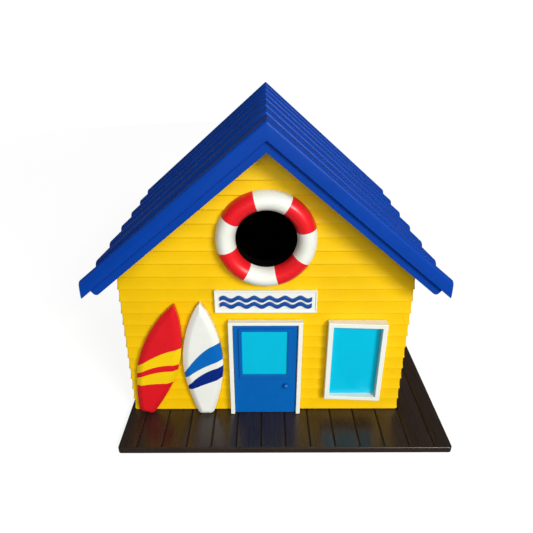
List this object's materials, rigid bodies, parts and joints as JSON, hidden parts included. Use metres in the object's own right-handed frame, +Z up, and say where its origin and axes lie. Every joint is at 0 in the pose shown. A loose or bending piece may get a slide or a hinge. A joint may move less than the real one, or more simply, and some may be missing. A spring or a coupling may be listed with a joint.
{
  "type": "birdhouse",
  "caption": "Beach-shack birdhouse: a yellow clapboard nest box with a blue lapped roof, life-ring entrance, door, window, surfboards and a dark planked deck.",
  "frame": {"origin": "on the underside of the deck board, below the middle of the house's footprint", "axes": "+X to the right of the front wall, +Y from the front wall to the back wall, +Z up"},
  "size_m": [0.2374, 0.2314, 0.2159],
  "materials": {
    "wall_yellow": "satin paint over clapboard, slightly glossy on the rounded lower edges",
    "roof_blue": "smooth satin paint, rounded edges",
    "deck_brown": "dark semi-gloss stain over grooved boards",
    "trim_white": "satin paint, softened edges",
    "ring_red_white": "cast resin painted in four red and four white bands",
    "sign_blue": "satin paint on a raised wave motif",
    "door_blue": "satin paint",
    "pane_cyan": "smooth glossy opaque sheet",
    "board_red": "cast resin, glossy red with two painted yellow stripes",
    "board_white": "cast resin, glossy white with a mid-blue and a navy stripe",
    "raw_wood": "bare sanded wood",
    "zinc_steel": "zinc plated"
  },
  "bodies": {
    "house": {"back_wall": "wall_yellow", "corner_block_back_left": "raw_wood", "corner_block_back_right": "raw_wood", "corner_block_front_left": "raw_wood", "corner_block_front_right": "raw_wood", "deck_board": "deck_brown", "deck_screw_back_left": "zinc_steel", "deck_screw_back_right": "zinc_steel", "deck_screw_front_left": "zinc_steel", "deck_screw_front_right": "zinc_steel", "door_bead": "door_blue", "door_frame": "trim_white", "door_knob": "door_blue", "door_pane": "pane_cyan", "door_panel": "door_blue", "front_wall": "wall_yellow", "hanger_screw_left": "zinc_steel", "hanger_screw_right": "zinc_steel", "hatch_pin_left": "zinc_steel", "hatch_pin_right": "zinc_steel", "hatch_stop": "raw_wood", "left_wall": "wall_yellow", "life_ring": "ring_red_white", "ridge_beam": "raw_wood", "right_wall": "wall_yellow", "roof_cover_left": "roof_blue", "roof_cover_right": "roof_blue", "roof_sheathing_left": "roof_blue", "roof_sheathing_right": "roof_blue", "sawtooth_hanger": "zinc_steel", "sign_board": "trim_white", "sign_wave_lower": "sign_blue", "sign_wave_upper": "sign_blue", "surfboard_red": "board_red", "surfboard_white": "board_white", "turn_button_screw": "zinc_steel", "window_frame": "trim_white", "window_pane": "pane_cyan"},
    "hatch": {"cleanout_hatch": "wall_yellow"},
    "button": {"turn_button": "raw_wood"}
  },
  "joints": [
    {"name": "hatch_swing", "type": "hinge", "parent": "house", "child": "hatch", "pos_m": [0, 0.0888, 0.08005], "axis": [1, 0, 0], "range_deg": [0, 90]},
    {"name": "button_turn", "type": "hinge", "parent": "house", "child": "button", "pos_m": [0, 0.0961, 0.0184], "axis": [0, 1, 0], "continuous": true}
  ]
}
